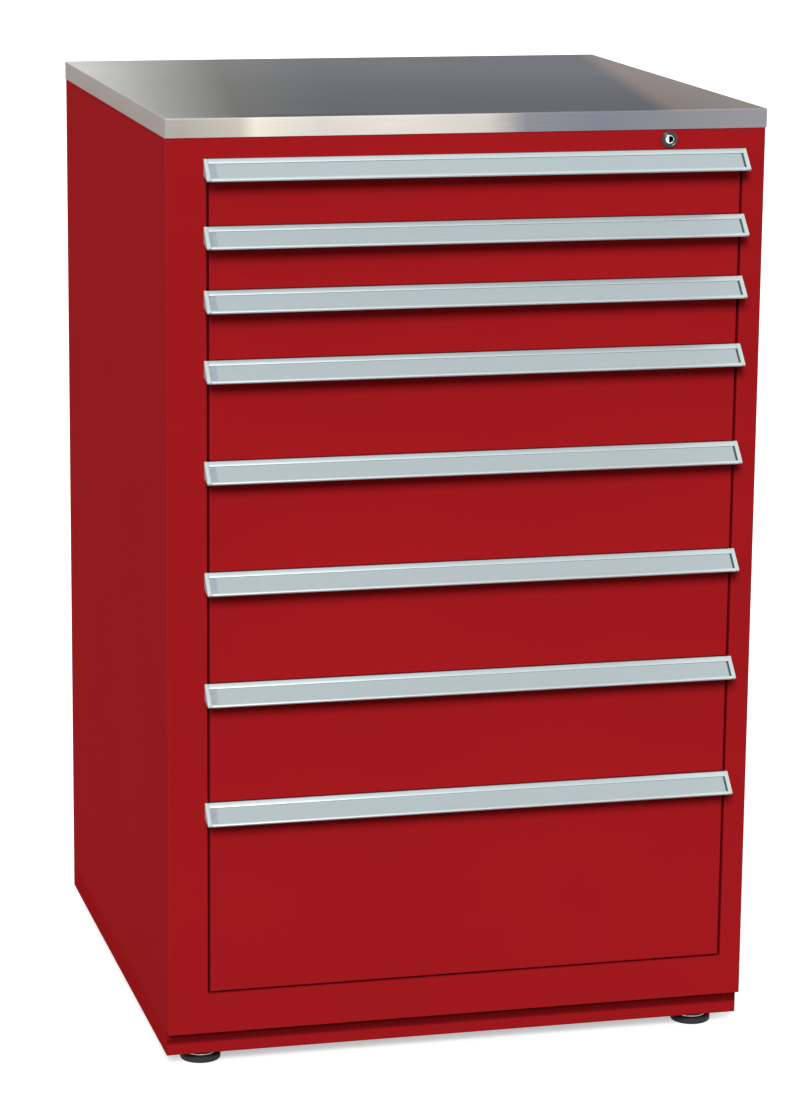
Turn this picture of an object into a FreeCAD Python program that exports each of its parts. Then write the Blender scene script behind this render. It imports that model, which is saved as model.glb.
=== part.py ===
import FreeCAD, Part
import os
import re
import Sketcher

# A steel drawer cabinet of the modular kind. Millimetres, +Z up from the floor, front towards -Y.
# The origin is the centre of the whole cabinet's footprint, measured over the drawer handles.

DRAWERS = 8

SIZES = [
    ("body_width", 760, "housing across its side panels"),
    ("body_depth", 740, "housing from its front face to its back"),
    ("sill_high", 52, "front face below the lowest drawer"),
    ("header_high", 25, "front face above the top drawer, where the lock sits"),
    ("stile_left", 50, "left upright strip of the front, which also covers the drawer slides"),
    ("stile_right", 28.5, "right upright strip of the front"),
    ("stile_deep", 22, "inward return of the stiles"),
    ("rail_deep", 18, "inward returns of the header and the sill"),
    ("rail_lip", 12, "down-turned lip behind the sill, and the roof sheet's folds"),
    ("body_sheet", 1.5, "sheet steel of the housing"),
    ("bend_radius", 2, "outer radius of the housing's folded front edges"),
    ("back_flange", 22, "flanges of the side panels that carry the back panel"),
    ("drawer_gap", 3, "reveal above and below each drawer front"),
    ("side_gap", 3.5, "reveal at each side of the drawer fronts"),
    ("pitch_1", 82, "top drawer, its upper edge to the next one's"),
    ("pitch_2", 78, "second drawer"),
    ("pitch_3", 86, "third drawer"),
    ("pitch_4", 125, "fourth drawer"),
    ("pitch_5", 139.5, "fifth drawer"),
    ("pitch_6", 141.5, "sixth drawer"),
    ("pitch_7", 153.5, "seventh drawer"),
    ("pitch_8", 249, "bottom drawer, its upper edge to the sill"),
    ("top_over", 1, "how far the steel top stands out past the housing all round"),
    ("top_high", 24, "height of the steel top's folded edge"),
    ("top_sheet", 1.2, "stainless sheet of the top"),
    ("base_high", 32.5, "plinth height"),
    ("base_sheet", 2, "plinth sheet"),
    ("toe_recess", 16, "plinth set back from the front face"),
    ("base_flange", 78, "bottom flange of the plinth, which holds the feet"),
    ("foot_clear", 17, "gap under the plinth at the feet's lowest setting"),
    ("foot_inset", 50, "foot centre from the side and front faces"),
    ("pad_diameter", 52, "foot pad"),
    ("pad_high", 8, "foot pad height"),
    ("pad_round", 2, "rounding of the foot pad's rim"),
    ("disc_diameter", 40, "steel disc over the foot pad"),
    ("disc_high", 2.5, "steel disc thickness"),
    ("stud_diameter", 12, "levelling stud"),
    ("stud_room", 3, "levelling stud clear of the housing floor"),
    ("stud_slack", 0.25, "radial clearance of the stud in the plinth flange"),
    ("nut_across", 19, "hexagon nuts across the flats"),
    ("jam_nut_high", 6, "lock nut under the plinth flange"),
    ("top_nut_high", 10, "nut on top of the plinth flange"),
    ("drawer_proud", 0.5, "drawer fronts stand this far in front of the stiles"),
    ("front_sheet", 1.2, "sheet of the drawer fronts"),
    ("front_deep", 18, "depth of a drawer front's returns"),
    ("front_round", 1.2, "outer radius of a drawer front's folded edges"),
    ("tray_sheet", 1.2, "sheet of the drawer trays"),
    ("tray_deep", 693, "drawer tray, front to back"),
    ("tray_lift", 6, "tray floor above the drawer front's lower edge"),
    ("tray_drop", 13, "tray rim below the drawer front's upper edge"),
    ("hem", 6, "inward fold along the tray's rim"),
    ("slot_wide", 3, "partition slots in the tray walls"),
    ("slot_high", 9, "partition slot height"),
    ("slot_step", 48, "spacing of the partition slots"),
    ("slot_margin", 5, "partition slots below the tray's rim"),
    ("slide_high", 35, "drawer slide, outside height"),
    ("slide_thick", 17, "drawer slide from the housing post to the tray wall"),
    ("slide_sheet", 1.5, "sheet of the slide members"),
    ("slide_wrap", 7.5, "how far each outer member reaches around the carriage"),
    ("slide_play", 0.4, "clearance between the carriage and its outer members"),
    ("slide_long", 678, "fixed slide channel, front to back"),
    ("slide_set", 26, "fixed slide channel behind the front face"),
    ("slide_lift", 2, "slide above the tray's lower face"),
    ("carriage_long", 668, "sliding carriage, front to back"),
    ("carriage_set", 30, "carriage behind the front face when the drawer is shut"),
    ("post_set", 45, "front posts behind the front face"),
    ("post_wide", 40, "posts, front to back"),
    ("post_back", 60, "rear posts in front of the back face"),
    ("post_sheet", 2, "sheet of the posts"),
    ("post_slot_step", 52, "spacing of the hook slots in the posts"),
    ("post_slot_high", 22, "hook slot height"),
    ("post_slot_wide", 5, "hook slot width"),
    ("post_clear", 0.5, "posts set back from the edges of the front opening"),
    ("handle_wall", 2, "back flange of the handle"),
    ("handle_back", 18, "handle's back flange below the drawer front's upper edge"),
    ("lip_clear", 0.4, "handle's top lip below the piece above it"),
    ("face_slope", 45, "slope of the handle's face below the horizontal, in degrees"),
    ("face_length", 29.2, "handle face measured down its slope"),
    ("face_wall", 1.6, "wall under the label"),
    ("label_deep", 0.9, "depth of the label groove under its lips"),
    ("label_lip", 0.9, "thickness of the lips that hold the label"),
    ("lip_over", 1.5, "how far the lips reach over the label"),
    ("upper_border", 3.5, "handle face above the label"),
    ("lower_border", 3.5, "handle face below the label"),
    ("handle_left", 7, "handle past the drawer front, at the left"),
    ("handle_right", 6, "handle past the drawer front, at the right"),
    ("cap_thick", 5, "handle end caps"),
    ("lock_in", 126, "lock from the right side of the housing"),
    ("ring_diameter", 20.4, "lock's outer ring"),
    ("ring_high", 2.2, "lock's outer ring in front of the header"),
    ("barrel_diameter", 16, "lock barrel"),
    ("barrel_long", 20, "lock barrel behind the header's front face"),
    ("barrel_slack", 0.2, "radial clearance of the barrel in the header"),
    ("plug_diameter", 11, "bore for the lock's plug"),
    ("plug_slack", 0.05, "radial running clearance of the plug"),
    ("key_wide", 1.4, "keyway"),
    ("key_high", 7, "keyway height"),
    ("key_deep", 14, "keyway depth"),
    ("clip_thick", 1.4, "spring clip that holds the barrel"),
    ("clip_wide", 26, "spring clip, across"),
    ("clip_high", 17, "spring clip height"),
    ("groove_diameter", 13, "bottom of the barrel's clip groove"),
    ("groove_slack", 0.1, "clearance of the clip in its groove"),
    ("cam_diameter", 19, "lock cam"),
    ("cam_thick", 2.5, "lock cam plate"),
    ("cam_throw", 7, "cam pin from the plug's axis"),
    ("pin_diameter", 4, "cam pin"),
    ("pin_slack", 0.45, "cam pin's clearance in the lock bar's slot"),
    ("cam_turn", 90, "how far the key turns, in degrees"),
    ("bar_thick", 3, "lock bar"),
    ("bar_wide", 14, "lock bar, front to back"),
    ("bar_rim", 2.5, "metal above and below the slot in the lock bar's arm"),
    ("bar_foot", 30, "lower end of the lock bar above the sill's underside"),
    ("bar_play", 0.4, "clearance between the lock bar and its guides"),
    ("bar_side", 1, "lock bar beside the front opening"),
    ("finger_thick", 4, "lock bar fingers, front to back"),
    ("finger_high", 5, "lock bar finger height"),
    ("finger_tip", 3, "finger tips clear of the tray walls"),
    ("catch_high", 8, "catch tabs on the trays"),
    ("catch_thick", 3, "catch tabs, front to back"),
    ("catch_out", 12, "how far a catch tab stands out from its tray"),
    ("catch_gap", 2, "catch tab behind the locked finger"),
    ("catch_clear", 2.5, "catch tab above the finger when unlocked"),
    ("guide_high", 16, "lock bar guides"),
    ("guide_sheet", 1.5, "sheet of the lock bar guides"),
]
ALIASES = [alias for alias, value, note in SIZES]

# Places that several pieces share, each written as a formula of the sizes above.
FORMULAS = {
    "face_rise": "(face_wall + label_deep + label_lip)",
    "lip_high": "(drawer_gap - lip_clear)",
    "handle_reach": "(handle_wall + face_length * cos(face_slope) + face_rise * sin(face_slope))",
    "over_all_depth": "(drawer_proud + handle_reach + body_depth + top_over)",
    "front_y": "(drawer_proud + handle_reach - over_all_depth / 2)",
    "back_y": "(front_y + body_depth)",
    "left_x": "(-body_width / 2)",
    "right_x": "(body_width / 2)",
    "floor_z": "(foot_clear + base_high)",
    "sill_z": "(floor_z + sill_high)",
    "header_z": "(top_1 + drawer_gap)",
    "roof_z": "(header_z + header_high)",
    "open_left": "(left_x + stile_left)",
    "open_right": "(right_x - stile_right)",
    "front_left": "(open_left + side_gap)",
    "front_right": "(open_right - side_gap)",
    "handle_long": "(front_right + handle_right - front_left + handle_left - cap_thick * 2)",
    "drawer_face": "(front_y - drawer_proud)",
    "tray_front": "(drawer_face + front_deep)",
    "tray_back": "(tray_front + tray_deep)",
    "slide_left": "(open_left + post_clear)",
    "slide_right": "(open_right - post_clear)",
    "tray_left": "(slide_left + slide_thick)",
    "tray_right": "(slide_right - slide_thick)",
    "back_in": "(back_y - body_sheet)",
    "post_front": "(front_y + post_set)",
    "post_long": "(roof_z - floor_z - body_sheet * 2)",
    "lock_x": "(right_x - lock_in)",
    "lock_z": "(header_z + header_high / 2)",
    "barrel_back": "(front_y + barrel_long)",
    "bar_back": "(post_front - bar_play)",
    "bar_front": "(bar_back - bar_wide)",
    "bar_left": "(open_right + bar_side)",
    "pin_rise": "(cam_throw * sin(cam_turn / 2))",
    "pin_x": "(lock_x - cam_throw * cos(cam_turn / 2))",
    "slot_half": "(pin_diameter / 2 + pin_slack)",
    "arm_z": "(lock_z - pin_rise)",
    "finger_back": "(bar_front + finger_thick)",
    "catch_front": "(finger_back + catch_gap)",
    "foot_x": "(body_width / 2 - foot_inset)",
    "foot_front": "(front_y + foot_inset)",
    "foot_rear": "(back_y - foot_inset)",
}
for number in range(1, DRAWERS + 1):
    below = " + ".join("pitch_%d" % lower for lower in range(number, DRAWERS + 1))
    FORMULAS["top_%d" % number] = "(sill_z + %s)" % below
FORMULAS["top_%d" % (DRAWERS + 1)] = "(sill_z)"

doc = FreeCAD.newDocument("drawer_cabinet")
sheet = doc.addObject("Spreadsheet::Sheet", "Size")
for row, (alias, value, note) in enumerate(SIZES, start=1):
    sheet.set("A%d" % row, note)
    sheet.set("B%d" % row, str(value))
    sheet.setAlias("B%d" % row, alias)
doc.recompute()


def cells(formula):
    """Write a formula with the sheet's cells in place of the sizes it names."""
    def swap(found):
        word = found.group(0)
        if word in FORMULAS:
            return cells(FORMULAS[word])
        return "Size." + word if word in ALIASES else word
    return re.sub(r"[a-z][a-z_0-9]*", swap, formula)


def worth(formula):
    """The present value of a formula."""
    return float(sheet.evalExpression(cells(formula)))


def place(thing, x="0", y="0", z="0"):
    """Bind where a thing stands."""
    for axis, formula in (("x", x), ("y", y), ("z", z)):
        thing.setExpression("Placement.Base." + axis, cells(formula))


def block(name, x, y, z):
    """A rectangular solid between two formulas on each axis."""
    solid = doc.addObject("Part::Box", name)
    for side, (low, high) in (("Length", x), ("Width", y), ("Height", z)):
        solid.setExpression(side, cells("(%s) - (%s)" % (high, low)))
    place(solid, x[0], y[0], z[0])
    return solid


def rod(name, radius, length, x, y, z, along="z"):
    """A round bar of a given radius that runs up, or back from its front end."""
    solid = doc.addObject("Part::Cylinder", name)
    solid.setExpression("Radius", cells(radius))
    solid.setExpression("Height", cells(length))
    if along == "y":
        solid.Placement.Rotation = FreeCAD.Rotation(FreeCAD.Vector(1, 0, 0), -90)
    place(solid, x, y, z)
    return solid


def hexagon(name, across, height, x, y, z):
    """An upright hexagonal bar of a given width across its flats."""
    solid = doc.addObject("Part::Prism", name)
    solid.Polygon = 6
    solid.setExpression("Circumradius", cells("%s / 2 / cos(30)" % across))
    solid.setExpression("Height", cells(height))
    place(solid, x, y, z)
    return solid


def join(name, pieces):
    """One solid out of pieces that touch."""
    solid = doc.addObject("Part::MultiFuse", name)
    solid.Shapes = pieces
    solid.Refine = True
    return solid


def group(name, pieces):
    """Separate pieces of one kind, kept together."""
    bundle = doc.addObject("Part::Compound", name)
    bundle.Links = pieces
    return bundle


def trim(name, base, tools):
    """A solid with other shapes cut out of it."""
    solid = doc.addObject("Part::Cut", name)
    solid.Base = base
    solid.Tool = tools[0] if len(tools) == 1 else group(name + "_tools", tools)
    solid.Refine = True
    return solid


def outline(body, name, plane, corners):
    """A closed sketch through corners, each held at its formulas from the plane's centre."""
    sketch = body.newObject("Sketcher::SketchObject", name)
    flat = [part for part in body.Origin.OriginFeatures if part.Role == plane][0]
    sketch.AttachmentSupport = [(flat, "")]
    sketch.MapMode = "FlatFace"
    spots = [FreeCAD.Vector(worth(across), worth(up), 0) for across, up in corners]
    for start, end in zip(spots, spots[1:] + spots[:1]):
        sketch.addGeometry(Part.LineSegment(start, end))
    count = len(corners)
    for index in range(count):
        following = (index + 1) % count
        sketch.addConstraint(Sketcher.Constraint("Coincident", index, 2, following, 1))
    for index, (across, up) in enumerate(corners):
        for kind, formula in (("DistanceX", across), ("DistanceY", up)):
            made = sketch.addConstraint(Sketcher.Constraint(kind, -1, 1, index, 1, worth(formula)))
            sketch.setExpression("Constraints[%d]" % made, cells(formula))
    return sketch


def section(name, plane, corners, length, backwards=False):
    """A body with one section padded along its length."""
    body = doc.addObject("PartDesign::Body", name)
    pad = body.newObject("PartDesign::Pad", name + "_pad")
    pad.Profile = outline(body, name + "_section", plane, corners)
    pad.setExpression("Length", cells(length))
    pad.Reversed = backwards
    return body


def round_off(body, radius, wanted):
    """Fillet the edges of a body's last feature whose middle and direction are wanted."""
    doc.recompute()
    last = body.Tip
    names = []
    for index, edge in enumerate(last.Shape.Edges, start=1):
        middle = edge.CenterOfMass
        direction = edge.tangentAt(edge.FirstParameter)
        if wanted(middle, direction):
            names.append("Edge%d" % index)
    fillet = body.newObject("PartDesign::Fillet", body.Name + "_fillet")
    fillet.Base = (last, names)
    fillet.setExpression("Radius", cells(radius))
    body.Tip = fillet
    return fillet


def near(value, formula):
    """Whether a coordinate is where a formula puts it."""
    return abs(value - worth(formula)) < 0.01


def side_panel(name, outer, inward, stile):
    """A side sheet folded round the front into a stile, and at the back into a flange."""
    def across(distance):
        return "%s %s (%s)" % (outer, inward, distance)
    corners = [
        (outer, "back_in"),
        (outer, "front_y"),
        (across(stile), "front_y"),
        (across(stile), "front_y + stile_deep"),
        (across(stile + " - body_sheet"), "front_y + stile_deep"),
        (across(stile + " - body_sheet"), "front_y + body_sheet"),
        (across("body_sheet"), "front_y + body_sheet"),
        (across("body_sheet"), "back_in - body_sheet"),
        (across("back_flange"), "back_in - body_sheet"),
        (across("back_flange"), "back_in"),
    ]
    body = section(name, "XY_Plane", corners, "roof_z - floor_z")
    place(body, z="floor_z")
    round_off(body, "bend_radius", lambda middle, way: abs(way.z) > 0.9
              and near(middle.x, outer) and near(middle.y, "front_y"))
    return body


def housing():
    """The welded cabinet shell: sides, back, header over the drawers, floor and roof."""
    left = side_panel("left_side_panel", "left_x", "+", "stile_left")
    right = side_panel("right_side_panel", "right_x", "-", "stile_right")
    back = block("back_panel", ("left_x", "right_x"), ("back_in", "back_y"), ("floor_z", "roof_z"))
    inner_x = ("left_x + body_sheet", "right_x - body_sheet")
    between = ("open_left", "open_right")
    between_posts = ("slide_left", "slide_right")
    behind = ("front_y + stile_deep", "back_in - body_sheet")
    roof_folds = ("roof_z - rail_lip", "roof_z")
    half_way = "front_y + body_depth / 2"
    floor = join("floor_pan", [
        block("floor_sheet", inner_x, behind, ("floor_z", "floor_z + body_sheet")),
        block("floor_tongue", between, ("front_y", "front_y + stile_deep"),
              ("floor_z", "floor_z + body_sheet")),
        block("sill_face", between, ("front_y", "front_y + body_sheet"), ("floor_z", "sill_z")),
        block("sill_return", between, ("front_y", "front_y + rail_deep"),
              ("sill_z - body_sheet", "sill_z")),
        block("sill_lip", between, ("front_y + rail_deep - body_sheet", "front_y + rail_deep"),
              ("sill_z - rail_lip", "sill_z")),
    ])
    roof = join("top_pan", [
        block("roof_sheet", inner_x, ("post_front", "back_in - body_sheet"),
              ("roof_z - body_sheet", "roof_z")),
        block("roof_fold", between_posts, ("post_front", "post_front + body_sheet"), roof_folds),
        block("roof_rib", between_posts, (half_way, half_way + " + body_sheet"), roof_folds),
    ])
    header = join("header_channel", [
        block("header_face", between, ("front_y", "front_y + body_sheet"), ("header_z", "roof_z")),
        block("header_top", between, ("front_y", "front_y + rail_deep"),
              ("roof_z - body_sheet", "roof_z")),
        block("header_foot", between, ("front_y", "front_y + rail_deep"),
              ("header_z", "header_z + body_sheet")),
    ])
    lock_hole = rod("lock_hole", "barrel_diameter / 2 + barrel_slack", "body_sheet",
                    "lock_x", "front_y", "lock_z", along="y")
    return [left, right, back, floor, roof, trim("header_rail", header, [lock_hole])]


def worktop():
    """The folded stainless cap and the board that stiffens it."""
    outer_x = ("left_x - top_over", "right_x + top_over")
    outer_y = ("front_y - top_over", "back_y + top_over")
    inner_x = ("left_x - top_over + top_sheet", "right_x + top_over - top_sheet")
    inner_y = ("front_y - top_over + top_sheet", "back_y + top_over - top_sheet")
    inner_z = ("roof_z", "roof_z + top_high - top_sheet")
    cap = trim("stainless_top", block("top_skin", outer_x, outer_y, ("roof_z", "roof_z + top_high")),
               [block("top_hollow", inner_x, inner_y, inner_z)])
    return [cap, block("top_board", inner_x, inner_y, inner_z)]


def plinth():
    """The base frame: a folded ring with a wide bottom flange, bored for the levelling feet."""
    toe_y = "front_y + toe_recess"
    ring = block("base_ring", ("left_x", "right_x"), (toe_y, "back_y"), ("foot_clear", "floor_z"))
    hollow = block("base_hollow", ("left_x + base_sheet", "right_x - base_sheet"),
                   (toe_y + " + base_sheet", "back_y - base_sheet"),
                   ("foot_clear + base_sheet", "floor_z"))
    window = block("base_window", ("left_x + base_flange", "right_x - base_flange"),
                   (toe_y + " + base_flange", "back_y - base_flange"),
                   ("foot_clear", "foot_clear + base_sheet"))
    holes = [rod("stud_hole_%s" % spot, "stud_diameter / 2 + stud_slack", "base_sheet", x, y, "foot_clear")
             for spot, x, y in foot_spots()]
    return [trim("base_frame", ring, [hollow, window] + holes)]


def foot_spots():
    """Name and centre of each levelling foot."""
    spots = []
    for side, x in (("left", "-foot_x"), ("right", "foot_x")):
        for end, y in (("front", "foot_front"), ("rear", "foot_rear")):
            spots.append((side + "_" + end, x, y))
    return spots


def feet():
    """Rubber pads, the studs with their discs, and the nuts that clamp them to the plinth."""
    pads = []
    stems = []
    nuts = []
    for spot, x, y in foot_spots():
        pad = doc.addObject("PartDesign::Body", "pad_" + spot)
        turn = pad.newObject("PartDesign::Revolution", "pad_turn_" + spot)
        half = [("0", "0"), ("pad_diameter / 2", "0"), ("pad_diameter / 2", "pad_high"), ("0", "pad_high")]
        turn.Profile = outline(pad, "pad_half_" + spot, "XZ_Plane", half)
        turn.ReferenceAxis = (turn.Profile[0], ["V_Axis"])
        turn.Angle = 360
        round_off(pad, "pad_round", lambda middle, way: abs(middle.x) < 0.01 and abs(way.z) < 0.1)
        place(pad, x, y)
        pads.append(pad)
        stems.append(join("stem_" + spot, [
            rod("disc_" + spot, "disc_diameter / 2", "disc_high", x, y, "pad_high"),
            rod("stud_" + spot, "stud_diameter / 2", "floor_z - stud_room - pad_high", x, y, "pad_high"),
        ]))
        for kind, base, high in (("jam", "foot_clear - jam_nut_high", "jam_nut_high"),
                                 ("top", "foot_clear + base_sheet", "top_nut_high")):
            hexagonal = hexagon("%s_hex_%s" % (kind, spot), "nut_across", high, x, y, base)
            bore = rod("%s_bore_%s" % (kind, spot), "stud_diameter / 2", high, x, y, base)
            nuts.append(trim("%s_nut_%s" % (kind, spot), hexagonal, [bore]))
    return [group("foot_pads", pads), group("foot_studs", stems), group("foot_nuts", nuts)]


def post(name, outer, inner, inward, front, back):
    """A folded post with its open side against a side panel and hook slots in its web."""
    web = "%s %s -post_sheet" % (inner, inward)
    corners = [
        (outer, front),
        (inner, front),
        (inner, back),
        (outer, back),
        (outer, back + " - post_sheet"),
        (web, back + " - post_sheet"),
        (web, front + " + post_sheet"),
        (outer, front + " + post_sheet"),
    ]
    body = section(name, "XY_Plane", corners, "post_long")
    place(body, z="floor_z + body_sheet")
    middle = "(%s + %s) / 2" % (front, back)
    slots = body.newObject("PartDesign::Pocket", name + "_slot")
    slots.Profile = outline(body, name + "_slot_shape", "YZ_Plane", [
        (middle + " - post_slot_wide / 2", "post_slot_step / 2"),
        (middle + " + post_slot_wide / 2", "post_slot_step / 2"),
        (middle + " + post_slot_wide / 2", "post_slot_step / 2 + post_slot_high"),
        (middle + " - post_slot_wide / 2", "post_slot_step / 2 + post_slot_high"),
    ])
    slots.Type = "ThroughAll"
    slots.Midplane = True
    steps = "floor((post_long - post_slot_step) / post_slot_step)"
    run = body.newObject("PartDesign::LinearPattern", name + "_slots")
    run.Originals = [slots]
    run.Direction = (slots.Profile[0], ["V_Axis"])
    run.setExpression("Length", cells(steps + " * post_slot_step"))
    run.setExpression("Occurrences", cells(steps + " + 1"))
    body.Tip = run
    return body


def uprights():
    """The slotted posts inside the side panels, on which the drawer slides hang."""
    pieces = []
    for side, outer, inner, inward in (("left", "left_x + body_sheet", "slide_left", "+"),
                                       ("right", "right_x - body_sheet", "slide_right", "-")):
        pieces.append(post(side + "_front_post", outer, inner, inward,
                           "post_front", "post_front + post_wide"))
        pieces.append(post(side + "_rear_post", outer, inner, inward,
                           "back_y - post_back - post_wide", "back_y - post_back"))
    return [group("slide_posts", pieces)]


def slide_z(number):
    """Underside of a drawer's slides."""
    return "(top_%d + drawer_gap + tray_lift + slide_lift)" % (number + 1)


def channel(name, wall, towards, number, ends):
    """A channel of the slides, its web on a wall and its flanges pointing away from it."""
    low = slide_z(number)
    mouth = "%s %s slide_wrap" % (wall, towards)
    web = "%s %s slide_sheet" % (wall, towards)
    outer_x = (wall, mouth) if towards == "+" else (mouth, wall)
    inner_x = (web, mouth) if towards == "+" else (mouth, web)
    shell = block(name + "_shell", outer_x, ends, (low, low + " + slide_high"))
    race = block(name + "_race", inner_x, ends,
                 (low + " + slide_sheet", low + " + slide_high - slide_sheet"))
    return trim(name, shell, [race])


def fixed_slides():
    """The outer slide members, one pair for each drawer, fixed to the posts."""
    ends = ("front_y + slide_set", "front_y + slide_set + slide_long")
    pieces = []
    for number in range(1, DRAWERS + 1):
        pieces.append(channel("left_slide_%d" % number, "slide_left", "+", number, ends))
        pieces.append(channel("right_slide_%d" % number, "slide_right", "-", number, ends))
    return [group("slide_channels", pieces)]


def carriage(name, number, wall, towards):
    """The middle member of a slide: an I-section that runs inside both outer members."""
    play = "slide_sheet + slide_play"
    low = slide_z(number) + " + " + play
    high = slide_z(number) + " + slide_high - slide_sheet - slide_play"
    ends = ("front_y + carriage_set", "front_y + carriage_set + carriage_long")

    def across(near_side, far_side):
        near_x = "%s %s (%s)" % (wall, towards, near_side)
        far_x = "%s %s (%s)" % (wall, towards, far_side)
        return (near_x, far_x) if towards == "+" else (far_x, near_x)
    middle = "slide_thick / 2"
    flange_low = (low + " + slide_sheet", high + " - slide_sheet")
    whole = block(name + "_whole", across(play, "slide_thick - (%s)" % play), ends, (low, high))
    near_race = block(name + "_near", across(play, middle + " - slide_sheet"), ends, flange_low)
    far_race = block(name + "_far", across(middle + " + slide_sheet", "slide_thick - (%s)" % play),
                     ends, flange_low)
    return trim(name, whole, [near_race, far_race])


def drawer_front(number):
    """The folded drawer front, open at its back."""
    low = "top_%d + drawer_gap" % (number + 1)
    high = "top_%d" % number
    name = "drawer_%d_front" % number
    corners = [("front_left", low), ("front_right", low), ("front_right", high), ("front_left", high)]
    body = section(name, "XZ_Plane", corners, "front_deep", backwards=True)
    place(body, y="drawer_face")
    round_off(body, "front_round", lambda middle, way: abs(middle.y) < 0.01)
    inside = "%s %s front_sheet"
    left, right = inside % ("front_left", "+"), inside % ("front_right", "-")
    bottom, top = inside % (low, "+"), inside % (high, "-")
    pocket = body.newObject("PartDesign::Pocket", name + "_hollow")
    hollow = outline(body, name + "_inside", "XZ_Plane",
                     [(left, bottom), (right, bottom), (right, top), (left, top)])
    hollow.setExpression("AttachmentOffset.Base.z", cells("-front_deep"))
    pocket.Profile = hollow
    pocket.setExpression("Length", cells("front_deep - front_sheet"))
    pocket.Reversed = True
    body.Tip = pocket
    return body


def tray(number):
    """The drawer tray: a floor between walls with hemmed rims, a plate at the front, rails, a catch."""
    name = "drawer_%d_" % number
    base = "(top_%d + drawer_gap + tray_lift)" % (number + 1)
    rim = "(top_%d - tray_drop)" % number
    upright = (base, rim)
    hems = (rim + " - tray_sheet", rim)
    walls_y = ("tray_front + tray_sheet", "tray_back")
    inner_x = ("tray_left + tray_sheet", "tray_right - tray_sheet")
    inner_y = ("tray_front + tray_sheet * 2", "tray_back - tray_sheet")
    hem_x = ("tray_left + hem", "tray_right - hem")
    rows = [rim + " - slot_margin"]
    lower_row = "%s + slide_high + slot_margin + slot_high" % slide_z(number)
    if worth(rows[0]) > worth(lower_row + " + slot_high * 3"):
        rows.append(lower_row)
    slots = []
    for row, top in enumerate(rows):
        for index in range(1, int(worth("tray_deep / slot_step"))):
            start = "tray_front + slot_step * %d" % index
            slots.append(block("%sslot_%d_%d" % (name, row, index), ("tray_left", "tray_right"),
                               (start, start + " + slot_wide"), (top + " - slot_high", top)))
    slots = group(name + "slots", slots)
    left = join(name + "left_sheet", [
        block(name + "left_side", ("tray_left", inner_x[0]), walls_y, upright),
        block(name + "left_hem", (inner_x[0], hem_x[0]), inner_y, hems),
    ])
    right = join(name + "right_sheet", [
        block(name + "right_side", (inner_x[1], "tray_right"), walls_y, upright),
        block(name + "right_hem", (hem_x[1], inner_x[1]), inner_y, hems),
    ])
    back = join(name + "back_wall", [
        block(name + "back_side", inner_x, (inner_y[1], "tray_back"), upright),
        block(name + "back_hem", hem_x, ("tray_back - hem", inner_y[1]), hems),
    ])
    return group(name + "tray", [
        trim(name + "left_wall", left, [slots]),
        trim(name + "right_wall", right, [slots]),
        back,
        block(name + "front_wall", inner_x, (walls_y[0], inner_y[0]), upright),
        block(name + "floor", inner_x, inner_y, (base, base + " + tray_sheet")),
        block(name + "inner_plate", ("front_left", "front_right"), ("tray_front", walls_y[0]),
              ("top_%d + drawer_gap" % (number + 1), "top_%d" % number)),
        channel(name + "left_rail", "tray_left", "-", number, walls_y),
        channel(name + "right_rail", "tray_right", "+", number, walls_y),
        block(name + "catch", ("tray_right", "tray_right + catch_out"),
              ("catch_front", "catch_front + catch_thick"),
              (catch_z(number), catch_z(number) + " + catch_high")),
    ])


def catch_z(number):
    """Underside of a drawer's lock catch, above its slides and the unlocked finger."""
    return "(%s + slide_high + finger_high + catch_clear * 2)" % slide_z(number)


def handle(number):
    """The extruded pull: a flange that rises over the reveal, and a sloping face for the label."""
    name = "drawer_%d_handle" % number
    body = section(name, "YZ_Plane", [
        ("0", "lip_high"),
        ("-handle_wall", "lip_high"),
        ("-handle_wall - face_rise * sin(face_slope)", "0"),
        ("-handle_wall", "-face_rise * cos(face_slope)"),
        ("-handle_wall", "-handle_back"),
        ("0", "-handle_back"),
    ], "handle_long")
    seat = "face_wall + label_deep"
    upper = "-upper_border"
    lower = "-face_length + lower_border"
    sloping = outline(body, name + "_face_shape", "YZ_Plane", [
        ("0", "0"),
        ("0", "face_rise"),
        (upper, "face_rise"),
        (upper, seat),
        (upper + " + lip_over", seat),
        (upper + " + lip_over", "face_wall"),
        (lower + " - lip_over", "face_wall"),
        (lower + " - lip_over", seat),
        (lower, seat),
        (lower, "face_rise"),
        ("-face_length", "face_rise"),
        ("-face_length", "0"),
    ])
    sloping.setExpression("AttachmentOffset.Base.x", cells("-handle_wall"))
    sloping.setExpression("AttachmentOffset.Base.y", cells("-face_rise * cos(face_slope)"))
    sloping.setExpression("AttachmentOffset.Rotation.Angle", cells("face_slope"))
    face = body.newObject("PartDesign::Pad", name + "_face")
    face.Profile = sloping
    face.setExpression("Length", cells("handle_long"))
    body.Tip = face
    place(body, "front_left - handle_left + cap_thick", "drawer_face", "top_%d" % number)
    return body


def end_caps(number):
    """The plastic plates that close the two ends of a handle."""
    corners = [
        ("0", "lip_high"),
        ("-handle_wall", "lip_high"),
        ("-handle_wall - face_rise * sin(face_slope)", "0"),
        ("-handle_reach", "-face_length * sin(face_slope)"),
        ("-handle_wall - face_length * cos(face_slope)",
         "-face_length * sin(face_slope) - face_rise * cos(face_slope)"),
        ("0", "-handle_back"),
    ]
    caps = []
    left_end = "front_left - handle_left"
    for side, x in (("left", left_end), ("right", left_end + " + cap_thick + handle_long")):
        cap = section("drawer_%d_%s_cap" % (number, side), "YZ_Plane", corners, "cap_thick")
        place(cap, x, "drawer_face", "top_%d" % number)
        caps.append(cap)
    return group("drawer_%d_end_caps" % number, caps)


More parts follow.
